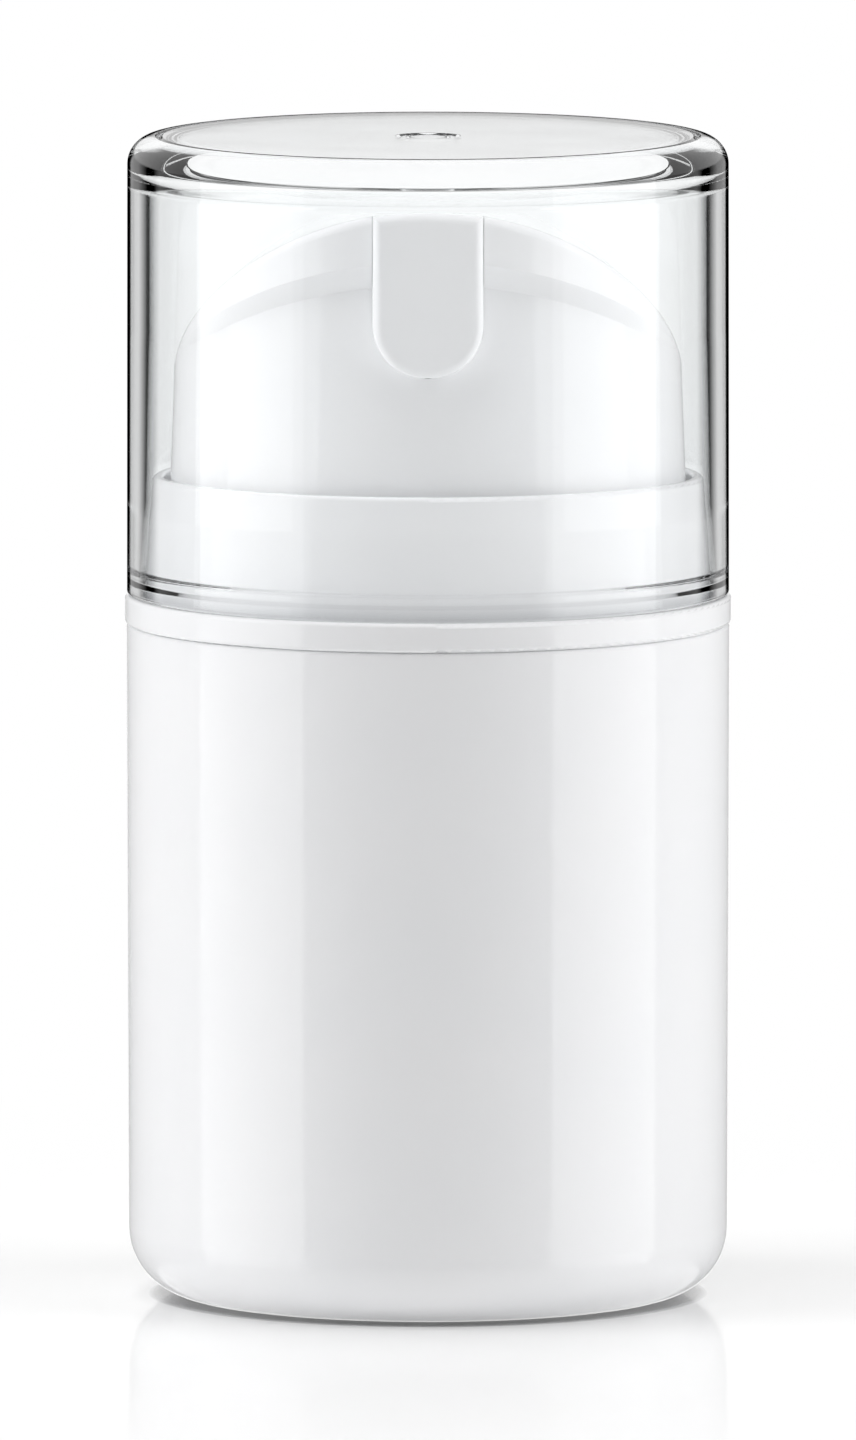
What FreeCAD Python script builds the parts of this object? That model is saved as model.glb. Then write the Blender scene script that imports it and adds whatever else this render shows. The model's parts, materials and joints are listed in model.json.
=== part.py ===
import FreeCAD, Part
import math
import os
import Sketcher

# Airless pump bottle with a clear overcap, about 50 ml.
# Millimetres. Z runs up the axis from the face that the bottle stands on. The spout points to -Y.

doc = FreeCAD.newDocument("airless_pump_bottle")

# Driving dimensions: name, size, and what it is on the object.
DIMENSIONS = [
    ("bottle_radius", 23.1, "outside radius of the bottle at its mouth"),
    ("bottle_taper", 0.15, "radius lost from the mouth down to the foot"),
    ("bottle_height", 51.75, "foot to mouth"),
    ("bottle_wall", 1.6, "side wall at the mouth"),
    ("bottle_floor", 1.6, "thickness of the floor"),
    ("foot_round", 5.2, "outer round at the foot"),
    ("foot_width", 1.7, "flat ring that the bottle stands on"),
    ("foot_recess", 0.8, "height of the floor's underside above the foot"),
    ("foot_slope", 0.6, "run of the slope from the foot ring to the recess"),
    ("vent_radius", 0.75, "air hole in the floor"),
    ("floor_round", 2.4, "inner corner between bore and floor"),
    ("mouth_round", 0.3, "edges of the mouth"),
    ("ring_overhang", 0.13, "shoulder ring beyond the bottle"),
    ("ring_height", 2.25, "height of the shoulder ring"),
    ("ring_round", 0.35, "edges of the shoulder ring"),
    ("sleeve_height", 9.45, "sleeve above the shoulder ring"),
    ("sleeve_draft", 0.57, "radius lost from the sleeve's foot to its rim"),
    ("sleeve_wall", 0.85, "sleeve wall at the rim"),
    ("sleeve_round", 0.35, "edges of the sleeve's rim"),
    ("web_thickness", 1.6, "web across the collar"),
    ("web_drop", 0.1, "web's top below the top of the shoulder ring"),
    ("web_round", 0.5, "corners where the web meets the walls"),
    ("skirt_length", 4.1, "plug skirt below the bottle's mouth"),
    ("skirt_wall", 1.8, "wall of the plug skirt"),
    ("skirt_clearance", 0.1, "plug skirt to the bottle's bore"),
    ("skirt_lead", 0.5, "lead-in at the foot of the plug skirt"),
    ("snap_drop", 2.3, "mouth down to the top of the snap groove"),
    ("snap_height", 1.3, "height of the snap groove"),
    ("snap_depth", 0.3, "depth of the snap groove, and height of the bead in it"),
    ("snap_play", 0.1, "bead to groove, up and down"),
    ("seal_drop", 0.7, "mouth down to the top of the seal groove"),
    ("seal_groove_height", 1.0, "height of the mouth seal's groove"),
    ("seal_groove_depth", 0.9, "depth of the mouth seal's groove"),
    ("seal_clearance", 0.05, "mouth seal to its groove and to the bore"),
    ("cap_inset", 0.05, "cap's rim inside the bottle's outline"),
    ("cap_draft", 0.05, "radius lost from the cap's rim to its top"),
    ("cap_wall", 1.05, "side wall of the cap at its rim"),
    ("cap_inner_draft", 0.45, "inside radius lost from the bead up to the ceiling"),
    ("cap_height", 35.15, "rim to top of the cap"),
    ("cap_top_thickness", 1.6, "top wall of the cap"),
    ("cap_round", 2.0, "outer round of the cap's top edge"),
    ("cap_inner_round", 1.2, "inner round under the cap's top edge"),
    ("cap_rim_round", 0.3, "edges of the cap's rim"),
    ("cap_clearance", 0.33, "cap to the foot of the sleeve"),
    ("bead_rise", 0.9, "rim up to the foot of the cap's inner bead"),
    ("bead_height", 1.3, "height of the cap's inner bead"),
    ("bead_depth", 0.2, "how far the bead stands in from the wall"),
    ("gate_radius", 2.25, "outer radius of the gate mark in the cap's top"),
    ("gate_step_radius", 1.5, "inner step of the gate mark"),
    ("gate_depth", 0.3, "depth of the gate mark's ring"),
    ("gate_step_depth", 0.12, "depth of the gate mark's inner disc"),
    ("flange_radius", 8.5, "flange of the pump cylinder"),
    ("flange_thickness", 1.2, "thickness of that flange"),
    ("flange_clearance", 0.2, "flange to the collar's centre boss"),
    ("boss_wall", 1.3, "wall of the collar's centre boss"),
    ("boss_height", 2.0, "centre boss above the web"),
    ("ledge_thickness", 1.2, "ledge under the cylinder's flange"),
    ("gasket_thickness", 0.6, "flat gasket under the flange"),
    ("cylinder_bore", 5.5, "radius of the dosing chamber"),
    ("cylinder_wall", 1.1, "wall of the pump cylinder"),
    ("cylinder_depth", 10.7, "top of the flange down to the chamber's floor"),
    ("cylinder_floor", 1.2, "floor of the dosing chamber"),
    ("cylinder_round", 0.8, "outer corner at the cylinder's foot"),
    ("cylinder_clearance", 0.15, "cylinder to the hole in the ledge"),
    ("nozzle_length", 2.3, "inlet nozzle below the cylinder"),
    ("nozzle_wall", 1.5, "nozzle wall around the ball's well"),
    ("inlet_radius", 0.7, "inlet hole under the ball"),
    ("ball_radius", 1.2, "inlet ball"),
    ("ball_clearance", 0.3, "ball to the side of its well"),
    ("ball_lift", 0.6, "travel of the ball off its seat"),
    ("ball_seat_gap", 0.03, "height of the resting ball above full contact"),
    ("ball_stop_gap", 0.05, "lifted ball to the lip over its well"),
    ("ball_lip", 0.5, "thickness of the lip over the ball's well"),
    ("ball_lip_hold", 0.2, "how far the lip reaches in over the ball"),
    ("rib_wall", 1.2, "lock ring's rib on the flange"),
    ("lock_clearance", 0.15, "lock ring to the centre boss"),
    ("lock_wall", 1.05, "outer wall of the lock ring"),
    ("lock_plate", 1.3, "top plate of the lock ring"),
    ("lock_gap", 0.2, "lock ring's plate above the boss"),
    ("lock_skirt", 1.6, "lock ring's outer wall below the plate"),
    ("stem_seal_thickness", 1.0, "wiper ring under the lock ring's plate"),
    ("stem_radius", 2.8, "outside of the stem"),
    ("stem_bore", 1.4, "bore of the stem"),
    ("stem_clearance", 0.08, "stem to its guide, its seal and the dosing piston"),
    ("stem_stop_gap", 0.1, "stop shoulder to the stem seal at rest"),
    ("stop_radius", 3.7, "stop shoulder of the stem"),
    ("stop_thickness", 0.75, "thickness of the stop shoulder"),
    ("lost_motion", 0.8, "travel of the dosing piston on the stem"),
    ("piston_play", 0.05, "dosing piston to the shoulder and plug, beyond its travel"),
    ("piston_length", 3.9, "dosing piston"),
    ("piston_clearance", 0.06, "lips of the dosing piston to the chamber"),
    ("piston_lip", 0.9, "height of each lip of the dosing piston"),
    ("piston_waist", 0.7, "depth of the waist between the lips"),
    ("plug_radius", 4.0, "head of the valve plug"),
    ("plug_thickness", 0.8, "thickness of that head"),
    ("plug_shank", 1.2, "shank of the plug in the stem"),
    ("plug_fit", 0.02, "shank of the plug to the stem's bore"),
    ("relief_depth", 0.4, "relief of the stem behind its ports"),
    ("relief_length", 2.6, "length of that relief"),
    ("port_radius", 0.55, "cross port of the stem"),
    ("port_rise", 1.95, "foot of the stem up to the port"),
    ("stem_flange_radius", 5.2, "flange that the spring pushes up"),
    ("stem_flange_thickness", 1.0, "thickness of that flange"),
    ("spring_length", 9.5, "fitted length of the return spring"),
    ("spring_wire", 0.7, "wire of the return spring"),
    ("spring_radius", 4.2, "mean radius of the return spring"),
    ("spring_turns", 5, "turns of the return spring, a whole number"),
    ("head_clearance", 0.35, "push head to the collar's sleeve"),
    ("head_lap", 4.2, "push head's skirt below the sleeve's rim"),
    ("head_draft_low", 0.35, "radius lost from the head's foot to the spring of its vault"),
    ("head_draft_high", 0.95, "radius lost from the head's foot to its top"),
    ("head_top_gap", 2.4, "front crest of the head to the cap's ceiling"),
    ("head_wall", 1.3, "wall of the push head"),
    ("head_round_share", 0.035, "round along the crest of the head, over its radius"),
    ("vault_overhang", 0.25, "half width of the vault beyond the head's skirt"),
    ("vault_flatness", 0.831, "rise of the elliptical vault over its half width"),
    ("vault_tilt", 3.5, "fall of the vault to the rear, in degrees"),
    ("brow_proud", 0.45, "front of the brow beyond the head's foot"),
    ("brow_shift", 1.25, "centre of the brow's curve in front of the axis"),
    ("brow_share", 0.2275, "height of the brow in the middle, over the rise of the vault"),
    ("brow_arch_share", 0.036, "drop of the brow's arch below the spring of the vault, over its rise"),
    ("brow_slant", 1.6, "fall of the brow's underside for each unit of depth"),
    ("socket_wall", 2.15, "wall of the head's stem socket"),
    ("socket_clearance", 0.05, "stem to its socket"),
    ("socket_gap", 0.2, "socket to the stem's flange and to the stem's end"),
    ("duct_radius", 1.2, "passage from the stem to the spout"),
    ("riser_radius", 1.0, "passage up from the stem to the duct"),
    ("duct_drop", 7.6, "front crest down to the middle of the duct"),
    ("duct_rise", 2.6, "end of the stem socket up to the middle of the duct"),
    ("duct_wall", 1.2, "wall of the duct"),
    ("rib_thickness", 1.0, "stiffening ribs in the head"),
    ("rib_rise", 2.2, "foot of the socket up to the foot of the ribs"),
    ("spout_half_width", 4.1, "half the width of the spout's tongue"),
    ("spout_length", 12.7, "front crest down to the tip of the tongue"),
    ("spout_tip_flat", 0.1, "half the short flat at the tip, between its two rounds"),
    ("spout_proud", 0.65, "face of the tongue in front of the brow"),
    ("spout_thickness", 2.1, "thickness of the tongue, let into the brow and the wall"),
    ("spout_round", 0.75, "round along the edge of the tongue's face"),
    ("spout_clearance", 0.05, "tongue to its recess in the brow"),
    ("spout_plug_radius", 1.9, "plug of the spout in the head"),
    ("spout_plug_length", 2.4, "length of that plug"),
    ("spout_channel", 0.45, "channel down the tongue to its outlet"),
    ("spout_channel_inset", 0.8, "middle of that channel behind the tongue's face"),
    ("follower_clearance", 0.08, "follower's lips to the bore"),
    ("follower_rest", 0.1, "follower above the bottle's floor"),
    ("follower_height", 9.0, "foot to upper lip of the follower"),
    ("follower_wall", 1.3, "walls of the follower"),
    ("follower_lip", 1.4, "height of each lip of the follower"),
    ("follower_waist", 0.6, "depth of the waist between the lips"),
    ("follower_crown", 7.0, "follower's foot up to its crown"),
    ("follower_foot_inset", 2.6, "standing ring inside the lips"),
    ("well_clearance", 1.2, "well in the follower around the cylinder"),
    ("well_floor", 1.2, "floor of that well"),
]

sheet = doc.addObject("Spreadsheet::Sheet", "Sizes")
for row, (alias, number, meaning) in enumerate(DIMENSIONS, start=1):
    sheet.set("A%d" % row, meaning)
    sheet.set("B%d" % row, str(number))
    sheet.setAlias("B%d" % row, alias)
doc.recompute()


class Size:
    """A length that carries its number and the sheet formula that gives it."""

    def __init__(self, number, formula):
        self.number = number
        self.formula = formula

    def __add__(self, other):
        other = as_size(other)
        return Size(self.number + other.number, "(%s + %s)" % (self.formula, other.formula))

    def __sub__(self, other):
        other = as_size(other)
        return Size(self.number - other.number, "(%s - %s)" % (self.formula, other.formula))

    def __mul__(self, factor):
        factor = as_size(factor)
        return Size(self.number * factor.number, "(%s * %s)" % (self.formula, factor.formula))

    def __neg__(self):
        return Size(-self.number, "(-%s)" % self.formula)


def as_size(value):
    """Let plain factors stand beside sizes."""
    if isinstance(value, Size):
        return value
    return Size(value, repr(value))


class Sizes:
    """The sheet's dimensions, read by name."""

    def __init__(self):
        for alias, number, meaning in DIMENSIONS:
            setattr(self, alias, Size(sheet.get(alias), "Sizes." + alias))


size = Sizes()
ZERO = Size(0.0, "0")
COS_45 = math.sqrt(0.5)


def origin_plane(body, role):
    """One of a body's own three planes."""
    return [feature for feature in body.Origin.OriginFeatures if feature.Role == role][0]


def bind(thing, path, amount):
    """Tie one property of an object to the sheet."""
    thing.setExpression(path, as_size(amount).formula)


def place(thing, across=ZERO, back=ZERO, up=ZERO):
    """Tie an object's position to the sheet."""
    bind(thing, ".Placement.Base.x", across)
    bind(thing, ".Placement.Base.y", back)
    bind(thing, ".Placement.Base.z", up)


def draw_outline(sketch, corners):
    """Draw a closed outline of lines, each corner an (across, up) or (across, up, round) of sizes."""
    count = len(corners)
    spots = [FreeCAD.Vector(corner[0].number, corner[1].number, 0) for corner in corners]
    rounds = [corner[2] if len(corner) > 2 else None for corner in corners]
    leaving = [(spots[(i + 1) % count] - spots[i]).normalize() for i in range(count)]
    starts = list(spots)
    ends = list(spots)
    arcs = {}
    for i in range(count):
        if rounds[i] is None:
            continue
        before = leaving[i - 1]
        after = leaving[i]
        radius = rounds[i].number
        turn = before.getAngle(after)
        trim = radius * math.tan(turn / 2)
        starts[i] = spots[i] - before * trim
        ends[i] = spots[i] + after * trim
        inward = (after - before).normalize()
        centre = spots[i] + inward * (radius / math.cos(turn / 2))
        left_hand = before.cross(after).z > 0
        first, last = (starts[i], ends[i]) if left_hand else (ends[i], starts[i])
        circle = Part.Circle(centre, FreeCAD.Vector(0, 0, 1), radius)
        begin = math.atan2(first.y - centre.y, first.x - centre.x)
        finish = math.atan2(last.y - centre.y, last.x - centre.x)
        arcs[i] = (Part.ArcOfCircle(circle, begin, finish), left_hand)

    lines = [Part.LineSegment(ends[i], starts[(i + 1) % count]) for i in range(count)]
    sketch.addGeometry(lines, False)
    constraints = []
    formulas = {}

    def pin(geometry, vertex, corner):
        for kind, axis, amount in (("DistanceX", -2, corner[0]), ("DistanceY", -1, corner[1])):
            if amount.formula == ZERO.formula:
                constraints.append(Sketcher.Constraint("PointOnObject", geometry, vertex, axis))
                continue
            formulas[len(constraints)] = amount.formula
            constraints.append(Sketcher.Constraint(kind, -1, 1, geometry, vertex, amount.number))

    for i in range(count):
        incoming = (i - 1) % count
        if i not in arcs:
            constraints.append(Sketcher.Constraint("Coincident", incoming, 2, i, 1))
            pin(i, 1, corners[i])
            continue
        arc, left_hand = arcs[i]
        arc_id = sketch.addGeometry(arc, False)
        point_id = sketch.addGeometry(Part.Point(spots[i]), True)
        pin(point_id, 1, corners[i])
        constraints.append(Sketcher.Constraint("PointOnObject", point_id, 1, incoming))
        constraints.append(Sketcher.Constraint("PointOnObject", point_id, 1, i))
        near, far = (1, 2) if left_hand else (2, 1)
        constraints.append(Sketcher.Constraint("Tangent", incoming, 2, arc_id, near))
        constraints.append(Sketcher.Constraint("Tangent", arc_id, far, i, 1))
        formulas[len(constraints)] = rounds[i].formula
        constraints.append(Sketcher.Constraint("Radius", arc_id, rounds[i].number))
    sketch.addConstraint(constraints)
    for index, formula in formulas.items():
        sketch.setExpression("Constraints[%d]" % index, formula)


def sketch_in(body, name, role, outline, forward=None):
    """A sketch on one of the body's planes, moved along the plane's normal if asked."""
    sketch = body.newObject("Sketcher::SketchObject", name)
    sketch.AttachmentSupport = [(origin_plane(body, role), "")]
    sketch.MapMode = "FlatFace"
    if forward is not None:
        bind(sketch, ".AttachmentOffset.Base.z", forward)
    draw_outline(sketch, outline)
    return sketch


def turned_body(name, outline):
    """A piece turned about the axis from its outline of (radius, height) corners."""
    body = doc.addObject("PartDesign::Body", name)
    body.Label = name
    sketch = sketch_in(body, name + "_outline", "XZ_Plane", outline)
    turn = body.newObject("PartDesign::Revolution", name + "_turn")
    turn.Profile = sketch
    turn.ReferenceAxis = (sketch, ["V_Axis"])
    turn.Angle = 360
    doc.recompute()
    return body


def cylinder(name, radius, length, across=ZERO, back=ZERO, up=ZERO, axis=None):
    """A round bar that starts at a place and runs along +Z, or along another axis."""
    bar = doc.addObject("Part::Cylinder", name)
    bind(bar, "Radius", radius)
    bind(bar, "Height", length)
    if axis is not None:
        bar.Placement.Rotation = FreeCAD.Rotation(FreeCAD.Vector(0, 0, 1), axis)
    place(bar, across, back, up)
    return bar


def block(name, lengths, across, back, up):
    """A rectangular block from its lowest corner."""
    slab = doc.addObject("Part::Box", name)
    for side, amount in zip(("Length", "Width", "Height"), lengths):
        bind(slab, side, amount)
    place(slab, across, back, up)
    return slab


def cut(name, base, tool):
    """What is left of a base after a tool."""
    result = doc.addObject("Part::Cut", name)
    result.Base = base
    result.Tool = tool
    return result


def common(name, base, tool):
    """What two shapes share."""
    result = doc.addObject("Part::Common", name)
    result.Base = base
    result.Tool = tool
    return result


def fused(name, shapes):
    """Several shapes as one moulding."""
    result = doc.addObject("Part::MultiFuse", name)
    result.Shapes = shapes
    return result


FORWARD = FreeCAD.Vector(0, -1, 0)
SIDEWAYS = FreeCAD.Vector(1, 0, 0)

# Heights and radii that several pieces share.
bore = size.bottle_radius - size.bottle_wall
base_radius = size.bottle_radius - size.bottle_taper
floor_top = size.foot_recess + size.bottle_floor
mouth = size.bottle_height
snap_top = mouth - size.snap_drop
snap_foot = snap_top - size.snap_height
ring_top = mouth + size.ring_height
web_top = ring_top - size.web_drop
web_foot = web_top - size.web_thickness
cap_rim_radius = size.bottle_radius - size.cap_inset
cap_top_radius = cap_rim_radius - size.cap_draft
cap_inside = cap_top_radius - size.cap_wall
cap_top = ring_top + size.cap_height
cap_ceiling = cap_top - size.cap_top_thickness
sleeve_foot_radius = cap_inside - size.cap_clearance
sleeve_rim_radius = sleeve_foot_radius - size.sleeve_draft
sleeve_bore = sleeve_rim_radius - size.sleeve_wall
sleeve_rim = ring_top + size.sleeve_height
boss_bore = size.flange_radius + size.flange_clearance
boss_outer = boss_bore + size.boss_wall
boss_top = web_top + size.boss_height
ledge_top = web_foot
ledge_foot = ledge_top - size.ledge_thickness
cylinder_outer = size.cylinder_bore + size.cylinder_wall
ledge_hole = cylinder_outer + size.cylinder_clearance
flange_foot = ledge_top + size.gasket_thickness
flange_top = flange_foot + size.flange_thickness
plate_foot = boss_top + size.lock_gap
plate_top = plate_foot + size.lock_plate
stem_guide = size.stem_radius + size.stem_clearance
seal_foot = plate_foot - size.stem_seal_thickness
head_radius = sleeve_bore - size.head_clearance
head_foot = sleeve_rim - size.head_lap
crest = cap_ceiling - size.head_top_gap
duct_height = crest - size.duct_drop
socket_top = duct_height - size.duct_rise


def make_bottle():
    """Straight-sided bottle with a full-bore mouth, a recessed floor and an air hole."""
    foot_inner = base_radius - size.foot_round - size.foot_width
    return turned_body("bottle", [
        (size.vent_radius, size.foot_recess),
        (foot_inner - size.foot_slope, size.foot_recess),
        (foot_inner, ZERO),
        (base_radius, ZERO, size.foot_round),
        (size.bottle_radius, mouth, size.mouth_round),
        (bore, mouth, size.mouth_round),
        (bore, snap_top),
        (bore + size.snap_depth, snap_top - size.snap_depth),
        (bore + size.snap_depth, snap_foot + size.snap_depth),
        (bore, snap_foot),
        (bore, floor_top, size.floor_round),
        (size.vent_radius, floor_top),
    ])


def make_follower():
    """Follower with a wiping lip at each end, a standing ring and a well for the pump."""
    lip = bore - size.follower_clearance
    waist = lip - size.follower_waist
    foot = floor_top + size.follower_rest
    top = foot + size.follower_height
    lip_foot = foot + size.floor_round
    crown = foot + size.follower_crown
    ring_outer = lip - size.follower_foot_inset
    well_radius = cylinder_outer + size.well_clearance
    inner = ring_outer - size.follower_wall
    return turned_body("follower_piston", [
        (ZERO, foot),
        (well_radius + size.follower_wall, foot),
        (well_radius + size.follower_wall, crown - size.follower_wall),
        (inner, crown - size.follower_wall),
        (inner, foot),
        (ring_outer, foot),
        (ring_outer, lip_foot + size.follower_lip),
        (waist, lip_foot + size.follower_lip),
        (lip, lip_foot),
        (lip, lip_foot + size.follower_lip),
        (waist, lip_foot + size.follower_lip * 2),
        (waist, top - size.follower_lip * 2),
        (lip, top - size.follower_lip),
        (lip, top),
        (waist - size.follower_wall, crown),
        (well_radius, crown),
        (well_radius, foot + size.well_floor),
        (ZERO, foot + size.well_floor),
    ])


def make_shoulder_collar():
    """Shoulder ring, sleeve, web, centre boss and plug skirt in one moulding."""
    skirt_outer = bore - size.skirt_clearance
    skirt_inner = skirt_outer - size.skirt_wall
    skirt_foot = mouth - size.skirt_length
    seal_top = mouth - size.seal_drop
    seal_bottom = seal_top - size.seal_groove_height
    seal_floor = skirt_outer - size.seal_groove_depth
    bead_top = snap_top - size.snap_play
    bead_foot = snap_foot + size.snap_play
    return turned_body("shoulder_collar", [
        (ledge_hole, ledge_foot),
        (boss_outer, ledge_foot),
        (boss_outer, web_foot),
        (skirt_inner, web_foot),
        (skirt_inner, skirt_foot),
        (skirt_outer - size.skirt_lead, skirt_foot),
        (skirt_outer, bead_foot),
        (skirt_outer + size.snap_depth, bead_foot + size.snap_depth),
        (skirt_outer + size.snap_depth, bead_top - size.snap_depth),
        (skirt_outer, bead_top),
        (skirt_outer, seal_bottom),
        (seal_floor, seal_bottom),
        (seal_floor, seal_top),
        (skirt_outer, seal_top),
        (skirt_outer, mouth),
        (size.bottle_radius + size.ring_overhang, mouth, size.ring_round),
        (size.bottle_radius + size.ring_overhang, ring_top, size.ring_round),
        (sleeve_foot_radius, ring_top),
        (sleeve_rim_radius, sleeve_rim, size.sleeve_round),
        (sleeve_bore, sleeve_rim, size.sleeve_round),
        (sleeve_bore, web_top, size.web_round),
        (boss_outer, web_top, size.web_round),
        (boss_outer, boss_top),
        (boss_bore, boss_top),
        (boss_bore, ledge_top),
        (ledge_hole, ledge_top),
    ])


def make_mouth_seal():
    """O-ring in the groove of the plug skirt."""
    groove_floor = bore - size.skirt_clearance - size.seal_groove_depth
    section = (bore - groove_floor) * 0.5 - size.seal_clearance
    ring = doc.addObject("Part::Torus", "mouth_seal")
    ring.Label = "mouth_seal"
    bind(ring, "Radius1", (bore + groove_floor) * 0.5)
    bind(ring, "Radius2", section)
    place(ring, up=mouth - size.seal_drop - size.seal_groove_height * 0.5)
    return ring


def make_cylinder_gasket():
    """Flat ring between the collar's ledge and the cylinder's flange."""
    return turned_body("cylinder_gasket", [
        (ledge_hole, ledge_top),
        (size.flange_radius, ledge_top),
        (size.flange_radius, flange_foot),
        (ledge_hole, flange_foot),
    ])


chamber_floor = flange_top - size.cylinder_depth
cylinder_foot = chamber_floor - size.cylinder_floor
nozzle_foot = cylinder_foot - size.nozzle_length
well_radius = size.ball_radius + size.ball_clearance
lip_radius = size.ball_radius - size.ball_lip_hold
lip_foot = chamber_floor - size.ball_lip
# The lifted ball meets the lip's inner edge; the resting ball lies on a cone of 45 degrees.
lip_reach = Size(
    math.sqrt(size.ball_radius.number ** 2 - lip_radius.number ** 2),
    "sqrt(%s ^ 2 - %s ^ 2)" % (size.ball_radius.formula, lip_radius.formula))
ball_height = lip_foot - size.ball_stop_gap - lip_reach - size.ball_lift
seat_top = ball_height - size.ball_seat_gap - size.ball_radius * (2 * COS_45) + well_radius


def make_pump_cylinder():
    """Dosing chamber with its flange above, and the inlet nozzle with the ball's well below."""
    nozzle_radius = well_radius + size.nozzle_wall
    return turned_body("pump_cylinder", [
        (size.inlet_radius, nozzle_foot),
        (nozzle_radius, nozzle_foot),
        (nozzle_radius, cylinder_foot),
        (cylinder_outer, cylinder_foot, size.cylinder_round),
        (cylinder_outer, flange_foot),
        (size.flange_radius, flange_foot),
        (size.flange_radius, flange_top),
        (size.cylinder_bore, flange_top),
        (size.cylinder_bore, chamber_floor),
        (lip_radius, chamber_floor),
        (lip_radius, lip_foot),
        (well_radius, lip_foot),
        (well_radius, seat_top),
        (size.inlet_radius, seat_top - well_radius + size.inlet_radius),
    ])


def make_inlet_ball():
    """Ball check valve on its conical seat."""
    ball = doc.addObject("Part::Sphere", "inlet_ball")
    ball.Label = "inlet_ball"
    bind(ball, "Radius", size.ball_radius)
    place(ball, up=ball_height)
    return ball


def make_lock_ring():
    """Snap ring over the centre boss: its rib holds the flange, its plate guides the stem."""
    outer = boss_outer + size.lock_clearance + size.lock_wall
    rib_outer = size.flange_radius
    return turned_body("lock_ring", [
        (stem_guide, plate_foot),
        (rib_outer - size.rib_wall, plate_foot),
        (rib_outer - size.rib_wall, flange_top),
        (rib_outer, flange_top),
        (rib_outer, plate_foot),
        (boss_outer + size.lock_clearance, plate_foot),
        (boss_outer + size.lock_clearance, plate_foot - size.lock_skirt),
        (outer, plate_foot - size.lock_skirt),
        (outer, plate_top, size.web_round),
        (stem_guide, plate_top),
    ])


def make_stem_seal():
    """Wiper ring around the stem, under the lock ring's plate and inside its rib."""
    outer = size.flange_radius - size.rib_wall - size.stem_clearance
    return turned_body("stem_seal", [
        (stem_guide, seal_foot),
        (outer, seal_foot),
        (outer, plate_foot),
        (stem_guide, plate_foot),
    ])


stop_top = seal_foot - size.stem_stop_gap
stop_foot = stop_top - size.stop_thickness
piston_top = stop_foot - size.lost_motion - size.piston_play
piston_foot = piston_top - size.piston_length
plug_top = piston_foot - size.piston_play
stem_foot = plug_top
spring_foot = plate_top
stem_flange_foot = spring_foot + size.spring_length
stem_flange_top = stem_flange_foot + size.stem_flange_thickness
stem_end = socket_top - size.socket_gap


def make_stem():
    """Hollow stem with ports, a stop shoulder and the flange that the spring lifts."""
    relief = size.stem_radius - size.relief_depth
    relief_top = stem_foot + size.relief_length
    bar = turned_body("stem_bar", [
        (size.stem_bore, stem_foot),
        (relief, stem_foot),
        (relief, relief_top),
        (size.stem_radius, relief_top + size.relief_depth),
        (size.stem_radius, stop_foot),
        (size.stop_radius, stop_foot),
        (size.stop_radius, stop_top),
        (size.stem_radius, stop_top),
        (size.stem_radius, stem_flange_foot),
        (size.stem_flange_radius, stem_flange_foot),
        (size.stem_flange_radius, stem_flange_top),
        (size.stem_radius, stem_flange_top),
        (size.stem_radius, stem_end),
        (size.stem_bore, stem_end),
    ])
    reach = size.stem_radius * 2
    port = cylinder("stem_port", size.port_radius, reach * 2, -reach, ZERO,
                    stem_foot + size.port_rise, SIDEWAYS)
    stem = cut("stem", bar, port)
    stem.Label = "stem"
    return stem


def make_valve_plug():
    """Headed plug in the foot of the stem."""
    shank = size.stem_bore - size.plug_fit
    return turned_body("valve_plug", [
        (ZERO, plug_top - size.plug_thickness),
        (size.plug_radius, plug_top - size.plug_thickness),
        (size.plug_radius, plug_top),
        (shank, plug_top),
        (shank, plug_top + size.plug_shank),
        (ZERO, plug_top + size.plug_shank),
    ])


def make_dosing_piston():
    """Sleeve on the stem with a lip at each end that wipes the dosing chamber."""
    lip = size.cylinder_bore - size.piston_clearance
    waist = lip - size.piston_waist
    return turned_body("dosing_piston", [
        (stem_guide, piston_foot),
        (waist, piston_foot),
        (lip, piston_foot),
        (lip, piston_foot + size.piston_lip),
        (waist, piston_foot + size.piston_lip + size.piston_waist),
        (waist, piston_top - size.piston_lip - size.piston_waist),
        (lip, piston_top - size.piston_lip),
        (lip, piston_top),
        (stem_guide, piston_top),
    ])


def make_return_spring():
    """Coil spring between the lock ring and the stem's flange, one tube of quarter-turn arcs."""
    wire = size.spring_wire.number / 2
    mean = size.spring_radius.number
    turns = int(size.spring_turns.number)
    low = spring_foot.number + wire
    rise = size.spring_length.number - size.spring_wire.number
    samples = 4
    quarters = turns * 4

    def centre_line(step):
        share = step / (quarters * samples)
        angle = 2 * math.pi * turns * share
        return FreeCAD.Vector(mean * math.cos(angle), mean * math.sin(angle), low + rise * share)

    edges = []
    climb = rise / (2 * math.pi * turns)
    for quarter in range(quarters):
        points = [centre_line(quarter * samples + i) for i in range(samples + 1)]
        tangents = []
        for point in (points[0], points[-1]):
            tangents.append(FreeCAD.Vector(-point.y, point.x, climb))
        curve = Part.BSplineCurve()
        curve.interpolate(points, InitialTangent=tangents[0], FinalTangent=tangents[1])
        edges.extend(arc.toShape() for arc in curve.toBiArcs(0.005))
    path = Part.Wire(edges)
    section = Part.Wire(Part.makeCircle(wire, centre_line(0), FreeCAD.Vector(0, mean, climb)))
    sweep = Part.BRepOffsetAPI.MakePipeShell(path)
    sweep.add(section)
    sweep.build()
    sweep.makeSolid()
    least = min(
        centre_line(i).distanceToPoint(centre_line(j))
        for i in range(quarters * samples)
        for j in range(i + 3 * samples, quarters * samples + 1))
    print("return_spring: least gap to itself %.2f mm" % (least - 2 * wire))
    spring = doc.addObject("Part::Feature", "return_spring")
    spring.Label = "return_spring"
    spring.Shape = sweep.shape()
    expected = math.pi * wire ** 2 * path.Length
    print("return_spring: volume %.2f of %.2f mm3" % (spring.Shape.Volume, expected))
    return spring


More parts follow.
